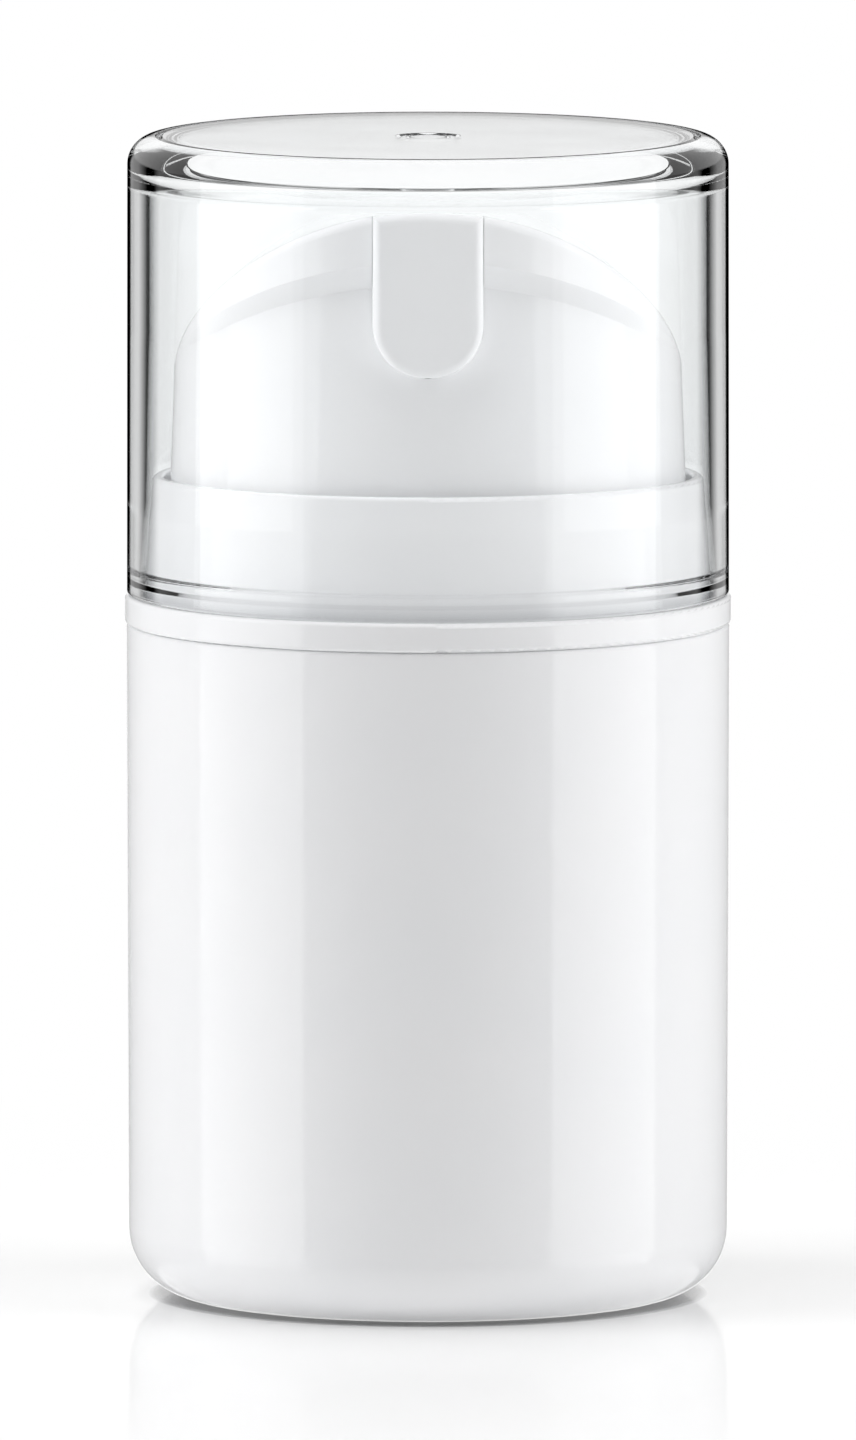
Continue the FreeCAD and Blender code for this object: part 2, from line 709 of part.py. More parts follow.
def make_overcap():
    """Clear cap: thin drafted wall, inner bead by the rim, sunk gate mark in the top."""
    bead_foot = ring_top + size.bead_rise
    bead_top = bead_foot + size.bead_height
    bead = cap_inside - size.bead_depth
    return turned_body("overcap", [
        (cap_inside, ring_top, size.cap_rim_round),
        (cap_rim_radius, ring_top, size.cap_rim_round),
        (cap_top_radius, cap_top, size.cap_round),
        (size.gate_radius, cap_top),
        (size.gate_radius, cap_top - size.gate_depth),
        (size.gate_step_radius, cap_top - size.gate_depth),
        (size.gate_step_radius, cap_top - size.gate_step_depth),
        (ZERO, cap_top - size.gate_step_depth),
        (ZERO, cap_ceiling),
        (cap_inside - size.cap_inner_draft, cap_ceiling, size.cap_inner_round),
        (cap_inside, bead_top),
        (bead, bead_top - size.bead_depth),
        (bead, bead_foot + size.bead_depth),
        (cap_inside, bead_foot),
    ])


# The vault is an elliptical tunnel that runs from the rear up to the front crest.
vault_half_width = head_radius + size.vault_overhang
vault_rise = vault_half_width * size.vault_flatness
vault_reach = size.bottle_radius * 2
vault_slope = Size(
    math.tan(math.radians(size.vault_tilt.number)), "tan(%s * 1 deg)" % size.vault_tilt.formula)
brow_face = head_radius + size.brow_proud


def vault_waste(name, inset):
    """Everything above the vault, or above a smaller vault inset by a wall."""
    centre = crest - vault_rise - vault_slope * (brow_face + vault_reach)
    tunnel_outline = doc.addObject("Part::Ellipse", name + "_outline")
    bind(tunnel_outline, "MajorRadius", vault_half_width - inset)
    bind(tunnel_outline, "MinorRadius", vault_rise - inset)
    lean = 90 - size.vault_tilt.number
    tunnel_outline.Placement.Rotation = FreeCAD.Rotation(SIDEWAYS, lean)
    tunnel_outline.setExpression(".Placement.Rotation.Angle", "(90 - Sizes.vault_tilt) * 1 deg")
    place(tunnel_outline, ZERO, vault_reach, centre)
    tunnel = doc.addObject("Part::Extrusion", name + "_tunnel")
    tunnel.Base = tunnel_outline
    tunnel.DirMode = "Normal"
    bind(tunnel, "LengthRev", vault_reach * 2.5)
    tunnel.Solid = True
    spring_line = crest - vault_rise
    slab = block(name + "_slab", (vault_reach * 2, vault_reach * 2, vault_reach),
                 -vault_reach, -vault_reach, spring_line)
    return cut(name, slab, tunnel)


def head_core(name, inset):
    """The head's drafted skirt as a solid up to above the crest, or its inside."""
    knee = crest - vault_rise
    above = crest + size.head_wall
    return turned_body(name, [
        (ZERO, head_foot),
        (head_radius - inset, head_foot),
        (head_radius - size.head_draft_low - inset, knee),
        (head_radius - size.head_draft_high - inset, above),
        (ZERO, above),
    ])


def make_brow():
    """Front brow: a shallow shield whose underside is an arch that slants back to the wall."""
    radius = brow_face - size.brow_shift
    knee = crest - vault_rise
    shield = cylinder("brow_shield", radius, crest + size.head_wall - knee, ZERO, -size.brow_shift, knee)
    curve = radius.number
    half_width = (vault_half_width + size.brow_proud).number
    centre = (knee - vault_rise * size.brow_arch_share).number
    rise = (crest - vault_rise * size.brow_share).number - centre
    slant = size.brow_slant.number
    front = -(brow_face + size.head_wall).number
    lift = slant * size.head_wall.number
    reach = vault_reach.number

    def arch_point(turn):
        """The arch carried forward along the slant, from the shield's curve to one plane."""
        across = curve * math.sin(turn)
        arch = centre + rise * math.sqrt(1 - (across / half_width) ** 2)
        return FreeCAD.Vector(across, front, arch + slant * curve * (1 - math.cos(turn)) + lift)

    swing = math.radians(80)
    steps = 12
    points = [arch_point(swing * (2 * i / steps - 1)) for i in range(steps + 1)]
    arch = Part.BSplineCurve()
    arch.interpolate(points)
    side = points[-1].z
    low = centre - reach
    corners = [FreeCAD.Vector(x, front, z) for x, z in (
        (reach, side), (reach, low), (-reach, low), (-reach, side))]
    frame = Part.makePolygon([points[-1]] + corners + [points[0]])
    face = Part.Face(Part.Wire([arch.toShape()] + frame.Edges))
    under = doc.addObject("Part::Feature", "brow_under")
    under.Shape = face.extrude(FreeCAD.Vector(0, reach, -slant * reach))
    return cut("brow", shield, under)


socket_foot = stem_flange_top + size.socket_gap
spout_back = brow_face + size.spout_proud - size.spout_thickness
spout_tip = crest - size.spout_length


def tongue_outline(margin):
    """The tongue's front view, rounded at its tip, open past the crest."""
    half = size.spout_half_width + margin
    tip = spout_tip - margin
    return [
        (-half, tip, half - size.spout_tip_flat),
        (half, tip, half - size.spout_tip_flat),
        (half, crest + size.head_wall),
        (-half, crest + size.head_wall),
    ]


def crest_edges(shape):
    """Numbers of the edges along the vault, which lie on its tilted elliptical tunnel."""
    knee = (crest - vault_rise).number
    lean = math.cos(math.radians(size.vault_tilt.number))
    found = []
    for number, edge in enumerate(shape.Edges, start=1):
        length = edge.LastParameter - edge.FirstParameter
        off = 0
        for share in (0.0, 0.5, 1.0):
            point = edge.valueAt(edge.FirstParameter + share * length)
            centre = knee - vault_slope.number * (brow_face.number + point.y)
            across = point.x / vault_half_width.number
            up = (point.z - centre) * lean / vault_rise.number
            off = max(off, abs(math.hypot(across, up) - 1))
        if off < 1e-3:
            found.append(number)
    return found


def make_actuator():
    """Push head: drafted skirt, vault, brow, stem socket, duct and stiffening ribs."""
    outer = fused("head_outer", [head_core("head_core", ZERO), make_brow()])
    waste = vault_waste("head_waste", ZERO)
    sharp = cut("head_sharp", outer, waste)
    doc.recompute()
    crown = doc.addObject("Part::Fillet", "head_crown")
    crown.Base = sharp
    crest_round = (head_radius * size.head_round_share).number
    crown.Edges = [(number, crest_round, crest_round) for number in crest_edges(sharp.Shape)]
    cavity = cut("head_cavity", head_core("head_inside", size.head_wall),
                 vault_waste("cavity_waste", size.head_wall))
    shell = cut("head_shell", crown, cavity)

    socket_radius = size.stem_radius + size.socket_clearance + size.socket_wall
    above = crest + size.head_wall
    socket = cylinder("socket_post", socket_radius, above - socket_foot, up=socket_foot)
    duct_tube = cylinder("duct_tube", size.duct_radius + size.duct_wall, head_radius,
                         up=duct_height, axis=FORWARD)
    rib_foot = socket_foot + size.rib_rise
    cross_rib = block("cross_rib", (head_radius * 2, size.rib_thickness, above - rib_foot),
                      -head_radius, size.rib_thickness * -0.5, rib_foot)
    rear_rib = block("rear_rib", (size.rib_thickness, head_radius, above - rib_foot),
                     size.rib_thickness * -0.5, ZERO, rib_foot)
    inner_works = fused("head_inner_works", [socket, duct_tube, cross_rib, rear_rib])
    trimmed = common("head_inner_trim", inner_works, cavity)
    solid = fused("head_solid", [shell, trimmed])

    socket_hole = cylinder("socket_hole", size.stem_radius + size.socket_clearance,
                           socket_top - socket_foot, up=socket_foot)
    riser = cylinder("duct_riser", size.riser_radius, duct_height - socket_top, up=socket_top)
    duct = cylinder("duct_hole", size.duct_radius, vault_reach, back=size.duct_radius,
                    up=duct_height, axis=FORWARD)
    plug_seat = cylinder("plug_seat", size.spout_plug_radius + size.spout_clearance, vault_reach,
                         back=-(spout_back - size.spout_plug_length - size.spout_clearance),
                         up=duct_height, axis=FORWARD)
    recess = doc.addObject("PartDesign::Body", "spout_recess")
    outline = sketch_in(recess, "spout_recess_outline", "XZ_Plane",
                        tongue_outline(size.spout_clearance), spout_back - size.spout_clearance)
    pad = recess.newObject("PartDesign::Pad", "spout_recess_pad")
    pad.Profile = outline
    bind(pad, "Length", size.spout_thickness * 3)
    doc.recompute()
    hollows = fused("head_hollows", [socket_hole, riser, duct, plug_seat, recess])
    head = cut("actuator", solid, hollows)
    head.Label = "actuator"
    return head


def make_spout():
    """Tongue with a rounded face edge, a plug at its back and a channel down to its tip."""
    tongue = doc.addObject("PartDesign::Body", "spout_tongue")
    outline = sketch_in(tongue, "spout_outline", "XZ_Plane", tongue_outline(ZERO), spout_back)
    pad = tongue.newObject("PartDesign::Pad", "spout_pad")
    pad.Profile = outline
    bind(pad, "Length", size.spout_thickness)
    doc.recompute()
    trimmed = cut("spout_trimmed", tongue, vault_waste("spout_waste", ZERO))
    doc.recompute()
    face = (spout_back + size.spout_thickness).number
    front = []
    for number, edge in enumerate(trimmed.Shape.Edges, start=1):
        box = edge.BoundBox
        if box.YMax < -face + size.spout_clearance.number:
            front.append((number, size.spout_round.number, size.spout_round.number))
    rounded = doc.addObject("Part::Fillet", "spout_rounded")
    rounded.Base = trimmed
    rounded.Edges = front
    plug = cylinder("spout_plug", size.spout_plug_radius, size.spout_plug_length + size.spout_channel,
                    back=-(spout_back - size.spout_plug_length), up=duct_height, axis=FORWARD)
    body = fused("spout_solid", [rounded, plug])
    middle = spout_back + size.spout_thickness - size.spout_channel_inset
    bore_hole = cylinder("spout_inlet", size.duct_radius,
                         size.spout_plug_length + size.spout_thickness - size.spout_channel_inset,
                         back=-(spout_back - size.spout_plug_length), up=duct_height, axis=FORWARD)
    channel = cylinder("spout_channel_hole", size.spout_channel, duct_height - spout_tip + size.head_wall,
                       back=-middle, up=spout_tip - size.head_wall)
    spout = cut("spout", body, fused("spout_hollows", [bore_hole, channel]))
    spout.Label = "spout"
    return spout


PIECES = [
    make_bottle(),
    make_follower(),
    make_shoulder_collar(),
    make_mouth_seal(),
    make_cylinder_gasket(),
    make_pump_cylinder(),
    make_inlet_ball(),
    make_lock_ring(),
    make_stem_seal(),
    make_stem(),
    make_valve_plug(),
    make_dosing_piston(),
    make_return_spring(),
    make_actuator(),
    make_spout(),
    make_overcap(),
]
doc.recompute()

failed = [thing.Name for thing in doc.Objects if "Invalid" in thing.State or "Error" in thing.State]
if failed:
    raise RuntimeError("failed: " + ", ".join(failed))
for piece in PIECES:
    if piece.Shape.isNull() or not piece.Shape.isValid():
        raise RuntimeError("bad shape: " + piece.Label)

os.makedirs("parts", exist_ok=True)
for piece in PIECES:
    piece.Shape.exportStep("parts/%s.step" % piece.Label)
    box = piece.Shape.BoundBox
    print("%-16s %d solid %9.2f mm3  z %6.2f to %6.2f  radius %.2f" % (
        piece.Label, len(piece.Shape.Solids), piece.Shape.Volume, box.ZMin, box.ZMax, box.XMax))
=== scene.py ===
# %% [markdown]
# # An airless pump bottle under its clear cap
# A white moulded bottle stands on a pale glossy floor. Its push head and spout show through a clear cap.
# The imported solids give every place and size, so the lesson starts by loading them and noting their box.
# Everything that follows is either a finer mesh in place of a solid, a finish, or the studio around it.

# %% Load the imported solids
import json
import math

import bpy
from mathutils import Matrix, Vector


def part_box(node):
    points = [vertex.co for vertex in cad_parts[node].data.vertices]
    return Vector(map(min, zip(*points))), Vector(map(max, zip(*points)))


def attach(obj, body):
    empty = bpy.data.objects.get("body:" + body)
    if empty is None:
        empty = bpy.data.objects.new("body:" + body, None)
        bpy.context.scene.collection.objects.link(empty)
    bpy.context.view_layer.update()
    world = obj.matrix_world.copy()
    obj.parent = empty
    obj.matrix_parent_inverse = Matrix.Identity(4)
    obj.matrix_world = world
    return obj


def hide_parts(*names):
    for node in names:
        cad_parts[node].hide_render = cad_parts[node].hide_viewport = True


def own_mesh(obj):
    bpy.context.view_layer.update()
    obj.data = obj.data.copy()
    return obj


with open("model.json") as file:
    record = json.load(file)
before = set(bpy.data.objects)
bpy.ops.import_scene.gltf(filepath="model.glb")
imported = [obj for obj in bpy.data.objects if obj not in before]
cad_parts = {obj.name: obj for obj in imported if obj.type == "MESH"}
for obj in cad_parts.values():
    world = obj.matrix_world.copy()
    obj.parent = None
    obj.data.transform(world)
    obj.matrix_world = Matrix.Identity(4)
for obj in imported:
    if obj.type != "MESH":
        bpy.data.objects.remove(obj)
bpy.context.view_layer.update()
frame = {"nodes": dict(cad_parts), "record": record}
nodes = frame["nodes"]
MM = 0.001
print("solids:", ", ".join(sorted(nodes)))

# %% [markdown]
# ## The camera
# The photograph looks slightly down on the bottle from far away, so upright lines stay upright and the top
# of the cap is a thin ellipse. A short lens close by would make the foot narrower than the cap. A very long
# lens keeps both as wide as they are. The aim, the distance and the pitch were found by laying the drawn
# ellipses of the cap, the ring and the foot over the photograph's.

# %% Camera
AIM = Vector((0, 0, 44.2 * MM))
DISTANCE = 2452 * MM
PITCH = math.radians(6.1)
LENS = 800

camera = bpy.data.objects.new("camera", bpy.data.cameras.new("camera"))
camera.data.lens = LENS
camera.data.sensor_width = 36
camera.data.clip_start = 0.01
camera.data.clip_end = 20
camera.location = AIM + DISTANCE * Vector((0, -math.cos(PITCH), math.sin(PITCH)))
camera.rotation_euler = (math.pi / 2 - PITCH, 0, 0)
bpy.context.scene.collection.objects.link(camera)
bpy.context.scene.camera = camera
bpy.context.scene.view_settings.view_transform = "Standard"
print("camera", tuple(round(c, 3) for c in camera.location))

# %% [markdown]
# ## Writing a finish
# Finishes are node trees. One small function adds a node, sets its values and plugs others into it, so a
# tree reads as a list. A second one turns the colour codes of paint cards into the linear light values
# that shaders expect. A third starts an empty material.


# %% Helpers for finishes
def linear(code):
    """An sRGB hex colour as linear light, with full alpha."""
    parts = [int(code[i:i + 2], 16) / 255 for i in (0, 2, 4)]
    return [c / 12.92 if c <= 0.04045 else ((c + 0.055) / 1.055) ** 2.4 for c in parts] + [1.0]


def add(tree, kind, values=(), plugs=(), **settings):
    """Add a node: values by socket, plugs as (socket, node, output), the rest as its settings."""
    node = tree.nodes.new(kind)
    for name, value in settings.items():
        setattr(node, name, value)
    for socket, value in dict(values).items():
        node.inputs[socket].default_value = value
    for socket, other, output in plugs:
        tree.links.new(other.outputs[output], node.inputs[socket])
    return node


def new_finish(name):
    """An empty material and its tree."""
    material = bpy.data.materials.new(name)
    material.use_nodes = True
    material.node_tree.nodes.clear()
    return material, material.node_tree


print("white card", [round(c, 3) for c in linear("F3F3F4")])

# %% [markdown]
# ## Moulded plastics
# All the plastics here are injection moulded, and what the eye gets from each differs in degree: clouds of
# pigment, an uneven shine where the melt flowed, and the fine relief that the tool's steel leaves in the
# skin.
# Each also gets painted shade, with its colour darkened in its own creases. So one function writes the tree,
# and each plastic gives its own colours, shine and relief. A separate tree for each would say the same thing
# four times.


# %% Moulded plastics
def moulded(name, colours, shine, relief, grain_mm, ior, milky=0.0):
    """A moulded plastic from its painted crease shade and pigment cloud colours, its roughness and its skin's
    relief.
    """
    material, tree = new_finish(name)
    place = add(tree, "ShaderNodeTexCoord")
    # Clouds are about 12 mm across and flow waves 4 mm, whatever the grain of the skin.
    clouds = add(tree, "ShaderNodeTexNoise", {"Scale": 1 / (12 * MM), "Detail": 3},
                 [("Vector", place, "Object")])
    pigment = add(tree, "ShaderNodeMix", {"A": linear(colours[1]), "B": linear(colours[2])},
                  [(0, clouds, "Fac")], data_type="RGBA")
    # Painted shade: creases within the piece itself, up to 6 mm across, are darkened towards the first colour
    # by ambient occlusion.
    painted_crease_shade = add(tree, "ShaderNodeAmbientOcclusion", {"Distance": 6 * MM}, samples=8, only_local=True)
    colour = add(tree, "ShaderNodeMix", {"A": linear(colours[0])},
                 [(0, painted_crease_shade, "AO"), ("B", pigment, "Result")], data_type="RGBA")
    flow = add(tree, "ShaderNodeTexNoise", {"Scale": 1 / (4 * MM), "Detail": 2},
               [("Vector", place, "Object")])
    gloss = add(tree, "ShaderNodeMapRange", {"To Min": shine[0], "To Max": shine[1]},
                [("Value", flow, "Fac")])
    grain = add(tree, "ShaderNodeTexNoise", {"Scale": 1 / (grain_mm * MM), "Detail": 3},
                [("Vector", place, "Object")])
    skin = add(tree, "ShaderNodeBump", {"Strength": relief, "Distance": 0.02 * MM},
               [("Height", grain, "Fac")])
    plastic = add(tree, "ShaderNodeBsdfPrincipled",
                  {"IOR": ior, "Subsurface Weight": milky, "Subsurface Scale": 2 * MM},
                  [("Base Color", colour, "Result"), ("Roughness", gloss, "Result"),
                   ("Normal", skin, "Normal")])
    add(tree, "ShaderNodeOutputMaterial", (), [("Surface", plastic, "BSDF")])
    print("made", name)
    return material


# %% [markdown]
# ## White polypropylene
# The bottle, collar, push head and spout are polypropylene filled with white pigment, from a polished tool.
# The eye gets an even, faintly cool white with a clear gloss that mirrors the softboxes as upright bands.
# The ripple of the skin is about 0.6 mm, and only close up does it show.

# %% White polypropylene
# The first colour is the painted shade in creases; the other two are the pigment clouds.
WHITE = moulded("moulded_white_polypropylene", ("7E8288", "F0F1F3", "F5F5F6"), (0.04, 0.08), 0.02, 0.6, 1.49)

# %% [markdown]
# ## Natural polypropylene and polyethylene
# The pump's cylinder, stem, plug and lock ring carry no pigment: natural polypropylene is milky and satin.
# The two pistons wipe a wall, so they are polyethylene, which is softer, whiter and waxy. Light goes into
# both before it comes back, so they get some subsurface scattering, which paint alone can't give.

# %% Natural plastics
# In each, the first colour is the painted shade in creases; the other two are the pigment clouds.
NATURAL_PP = moulded(
    "moulded_natural_polypropylene", ("B9BDBB", "DFE2E0", "E9EBE9"), (0.28, 0.42), 0.05, 0.5, 1.49, 0.35)
NATURAL_PE = moulded(
    "moulded_natural_polyethylene", ("BCC1C4", "E8EBED", "F1F3F3"), (0.40, 0.55), 0.08, 0.4, 1.51, 0.45)

# %% [markdown]
# ## Seal elastomer
# The three seals are a pale thermoplastic elastomer from an eroded tool. It is matt with a fine grit, which
# is drawn at 0.25 mm so that it shows at all, and it looks a little grey because it collects dust.

# %% Seal elastomer
# The first colour is the painted shade in creases; the other two are the pigment clouds.
ELASTOMER = moulded("moulded_pale_elastomer", ("8E8D88", "BDBCB6", "CDCCC7"), (0.70, 0.85), 0.25, 0.25, 1.50)

# %% [markdown]
# ## Clear styrene acrylonitrile
# The cap is clear styrene acrylonitrile from a mirror-polished tool. It bends light strongly, so its wall
# shows as dark and light upright lines where light runs along inside it. A plain glass shader gives that by
# itself once the wall is a real wall with two sides. A trace of waviness from the flow breaks the lines up,
# and the colour keeps the faint cool tint of the thick edges.


# %% Clear styrene acrylonitrile
def clear_plastic():
    """Polished clear moulded plastic, slightly wavy."""
    material, tree = new_finish("moulded_clear_styrene_acrylonitrile")
    place = add(tree, "ShaderNodeTexCoord")
    # Flow waves about 9 mm long tint it by a trace and tilt its skin by far less than a degree.
    waves = add(tree, "ShaderNodeTexNoise", {"Scale": 1 / (9 * MM), "Detail": 1},
                [("Vector", place, "Object")])
    tint = add(tree, "ShaderNodeMix", {"A": linear("FAFCFD"), "B": linear("FEFFFF")}, [(0, waves, "Fac")],
               data_type="RGBA")
    skin = add(tree, "ShaderNodeBump", {"Strength": 0.1, "Distance": 0.02 * MM}, [("Height", waves, "Fac")])
    plastic = add(tree, "ShaderNodeBsdfPrincipled",
                  {"IOR": 1.57, "Roughness": 0.0, "Transmission Weight": 1.0},
                  [("Base Color", tint, "Result"), ("Normal", skin, "Normal")])
    add(tree, "ShaderNodeOutputMaterial", (), [("Surface", plastic, "BSDF")])
    print("made", material.name)
    return material


CLEAR = clear_plastic()

# %% [markdown]
# ## Stainless steel
# The spring is drawn stainless wire: the die leaves fine lines along it. Its mesh carries a UV map in metres,
# along the wire and around it, so noise that is stretched along U gives those lines. The ball is the same
# metal, tumbled and polished, with a faint haze. Both are metals, so colour sits in the reflection.


# %% Stainless steel
def stainless(name, coordinates, stretch, colours, shine):
    """A metal whose lines follow the stretch of its coordinates."""
    material, tree = new_finish(name)
    place = add(tree, "ShaderNodeTexCoord")
    lines = add(tree, "ShaderNodeMapping", {"Scale": stretch}, [("Vector", place, coordinates)])
    marks = add(tree, "ShaderNodeTexNoise", {"Scale": 1.0, "Detail": 4}, [("Vector", lines, "Vector")])
    colour = add(tree, "ShaderNodeMix", {"A": linear(colours[0]), "B": linear(colours[1])},
                 [(0, marks, "Fac")], data_type="RGBA")
    gloss = add(tree, "ShaderNodeMapRange", {"To Min": shine[0], "To Max": shine[1]},
                [("Value", marks, "Fac")])
    skin = add(tree, "ShaderNodeBump", {"Strength": 0.1, "Distance": 0.01 * MM}, [("Height", marks, "Fac")])
    metal = add(tree, "ShaderNodeBsdfPrincipled", {"Metallic": 1.0},
                [("Base Color", colour, "Result"), ("Roughness", gloss, "Result"),
                 ("Normal", skin, "Normal")])
    add(tree, "ShaderNodeOutputMaterial", (), [("Surface", metal, "BSDF")])
    print("made", name)
    return material


# Die lines are 0.05 mm apart and some 4 mm long; the ball's haze is about 0.3 mm.
DIE_LINES = (1 / (4 * MM), 1 / (0.05 * MM), 1)
HAZE = (3300, 3300, 3300)
WIRE = stainless("drawn_stainless_wire", "UV", DIE_LINES, ("B4B3B0", "CFCECB"), (0.18, 0.36))
BALL = stainless("polished_stainless_ball", "Object", HAZE, ("C6C6C5", "D6D6D5"), (0.06, 0.14))

# %% [markdown]
# ## Dressing the solids
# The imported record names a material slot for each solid. One table turns slots into finishes, so each solid
# that stays in the picture gets its finish from what it is made of, and none is missed.

# %% Dress the solids
FINISHES = {
    "clear_cap": CLEAR, "white_gloss": WHITE, "natural_polypropylene": NATURAL_PP,
    "natural_polyethylene": NATURAL_PE, "seal_elastomer": ELASTOMER, "spring_steel": WIRE, "ball_steel": BALL,
}
for part in frame["record"]["subparts"]:
    piece = nodes[part["node"]]
    piece.data.materials.clear()
    piece.data.materials.append(FINISHES[part["material_slot"]])

# %% [markdown]
# ## Turning a profile
# A turned piece is a profile swept around an axis. Blender's Spin or Screw would do it, but a clear wall
# needs more: light bends by the normals, and averaged normals make a flat wall look bulged beside each
# round. So every corner becomes a real arc, each point keeps the exact normal of its arc or its flat, and
# those normals are given to the mesh.


# %% Turned pieces
def rounded(corners, fine=16):
    """Corners (radius, height, round) as points and normals, with an arc in each corner."""
    points = []
    for i, (r, z, size) in enumerate(corners):
        here = Vector((r, z))
        ways = []
        for j in (i - 1, i):
            if 0 <= j < len(corners) - 1:
                ways.append((Vector(corners[j + 1][:2]) - Vector(corners[j][:2])).normalized())
        normals = [Vector((-way.y, way.x)) for way in ways]
        if len(ways) == 1:
            points.append((here, normals[0]))
            continue
        bend = math.atan2(ways[0].x * ways[1].y - ways[0].y * ways[1].x, ways[0].dot(ways[1]))
        start = here - ways[0] * size * math.tan(abs(bend) / 2)
        side = -math.copysign(size, bend)
        middle = start - side * normals[0]
        for k in range(fine + 1):
            turn = bend * k / fine
            normal = Vector((normals[0].x * math.cos(turn) - normals[0].y * math.sin(turn),
                             normals[0].x * math.sin(turn) + normals[0].y * math.cos(turn)))
            points.append((middle + side * normal, normal))
    return points


def turned(name, corners, segments=288):
    """A closed turned piece from corners in millimetres, the first and the last on the axis."""
    points, normals, rows = [], [], []
    for spot, normal in rounded(corners):
        around = segments if spot.x > 1e-6 else 1
        rows.append(range(len(points), len(points) + around))
        for k in range(around):
            turn = 2 * math.pi * k / segments
            points.append((spot.x * math.cos(turn) * MM, spot.x * math.sin(turn) * MM, spot.y * MM))
            normals.append((normal.x * math.cos(turn), normal.x * math.sin(turn), normal.y))
    faces = []
    for low, high in zip(rows, rows[1:]):
        for k in range(segments):
            j = (k + 1) % segments
            ring = [high[k % len(high)], high[j % len(high)], low[j % len(low)], low[k % len(low)]]
            faces.append(list(dict.fromkeys(ring)))
    mesh = bpy.data.meshes.new(name)
    mesh.from_pydata(points, [], faces)
    mesh.shade_smooth()
    mesh.normals_split_custom_set_from_vertices(normals)
    piece = bpy.data.objects.new(name, mesh)
    bpy.context.scene.collection.objects.link(piece)
    print(name, len(points), "points")
    return piece


# %% [markdown]
# ## The clear overcap
# The cap has a flat top with a sunk gate mark in its middle, a soft outer edge, a thin wall and a low snap
# bead near the rim. Inside, the wall thickens upwards, quickly at first, because the tool's core must draw
# out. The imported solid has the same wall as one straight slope. Here it follows the photograph's dark line,
# which marks the inside of the wall, and the bead is rounded. The wall stays 0.1 mm clear of the tongue.
# The photograph has a dark line along the front edge of the top. A fine groove, 0.4 mm deep, stands in for
# whatever draws that line on the real cap, where the corner alone may do it.

# %% Overcap
low, high = (corner[2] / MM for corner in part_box("overcap"))
CEILING = high - 1.6
INSIDE = 21.95
BEAD_FOOT = low + 0.9
BEAD_TOP = BEAD_FOOT + 1.3
BEAD = INSIDE - 0.2
GATE = high - 0.1
FINE = 0.05
# Each corner is (radius, height, round) in millimetres, from the middle of the top round to the ceiling.
gate_mark = [
    (0, GATE, 0), (1.38, GATE, FINE), (1.58, high - 0.32, FINE), (1.72, GATE, FINE),
    (2.1, GATE, FINE), (2.28, high - 0.34, FINE), (2.5, high, FINE),
]
top_groove = [(20.32, high, 0.08), (20.72, high - 0.4, FINE), (20.84, high, FINE)]
outer_wall = [(23.0, high, 2.15), (23.05, low, 0.3), (INSIDE, low, 0.3)]
snap_bead = [
    (INSIDE, BEAD_FOOT, 0.3), (BEAD, BEAD_FOOT + 0.4, 0.4),
    (BEAD, BEAD_TOP - 0.4, 0.4), (INSIDE, BEAD_TOP, 0.3),
]
inner_wall = [(21.6, low + 7, 20), (21.35, low + 20, 60), (21.33, CEILING, 2.5), (0, CEILING, 0)]
cap = turned("clear_overcap", gate_mark + top_groove + outer_wall + snap_bead + inner_wall)
cap.data.materials.append(CLEAR)
# Light goes through the cap to what is inside it, so it casts no shadow and takes none of the soft light.
cap.visible_shadow = False
cap.visible_diffuse = False
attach(cap, "overcap")
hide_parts("overcap")

# %% [markdown]
# ## The return spring
# The spring is one length of wire, wound with its end turns laid close so that it stands square, and open
# turns between. A curve with a round bevel would give the shape, but not a UV map in metres for the die
# lines, nor a mesh that can be pressed. So the wire is a tube of rings along a helix whose pitch eases in
# and out. It stands on the lock ring.

# %% Return spring
spring_low, spring_high = (corner[2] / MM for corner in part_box("return_spring"))
WIRE_RADIUS = 0.35
COIL_RADIUS = 4.2
TURNS = 6
STEPS = TURNS * 60
AROUND = 16
EASE = 8
# A close turn rises by a little more than the wire's thickness, and the open ones share the rest.
CLOSE_PITCH = 2 * WIRE_RADIUS * 1.03
OPEN_TURNS = TURNS - 2
OPEN_PITCH = (spring_high - spring_low - 2 * WIRE_RADIUS - 2 * CLOSE_PITCH) / OPEN_TURNS


def wire_height(step):
    """Height of the wire's middle: close turns at both ends, open ones between."""
    done = step / STEPS * TURNS
    close = min(done, 1) + max(done - TURNS + 1, 0)
    opened = min(max(done - 1, 0), OPEN_TURNS)
    return spring_low + WIRE_RADIUS + CLOSE_PITCH * close + OPEN_PITCH * opened


def wire_centre(step):
    """Middle of the wire at a step, its height smoothed over a quarter turn."""
    turn = 2 * math.pi * TURNS * step / STEPS
    reach = EASE if EASE <= step <= STEPS - EASE else 0
    heights = [wire_height(step + k) for k in range(-reach, reach + 1)]
    height = sum(heights) / len(heights)
    return Vector((COIL_RADIUS * math.cos(turn), COIL_RADIUS * math.sin(turn), height)) * MM


points, faces, corners_uv = [], [], []
for step in range(STEPS + 1):
    here = wire_centre(step)
    way = (wire_centre(min(step + 1, STEPS)) - wire_centre(max(step - 1, 0))).normalized()
    outward = Vector((here.x, here.y, 0)).normalized()
    upward = way.cross(outward).normalized()
    for k in range(AROUND):
        turn = 2 * math.pi * k / AROUND
        points.append(here + (outward * math.cos(turn) + upward * math.sin(turn)) * WIRE_RADIUS * MM)
along = 2 * math.pi * COIL_RADIUS * MM * TURNS / STEPS
girth = 2 * math.pi * WIRE_RADIUS * MM / AROUND
for step in range(STEPS):
    for k in range(AROUND):
        j = (k + 1) % AROUND
        faces.append((step * AROUND + k, step * AROUND + j, (step + 1) * AROUND + j, (step + 1) * AROUND + k))
        corners_uv += [(step * along, k * girth), (step * along, (k + 1) * girth),
                       ((step + 1) * along, (k + 1) * girth), ((step + 1) * along, k * girth)]
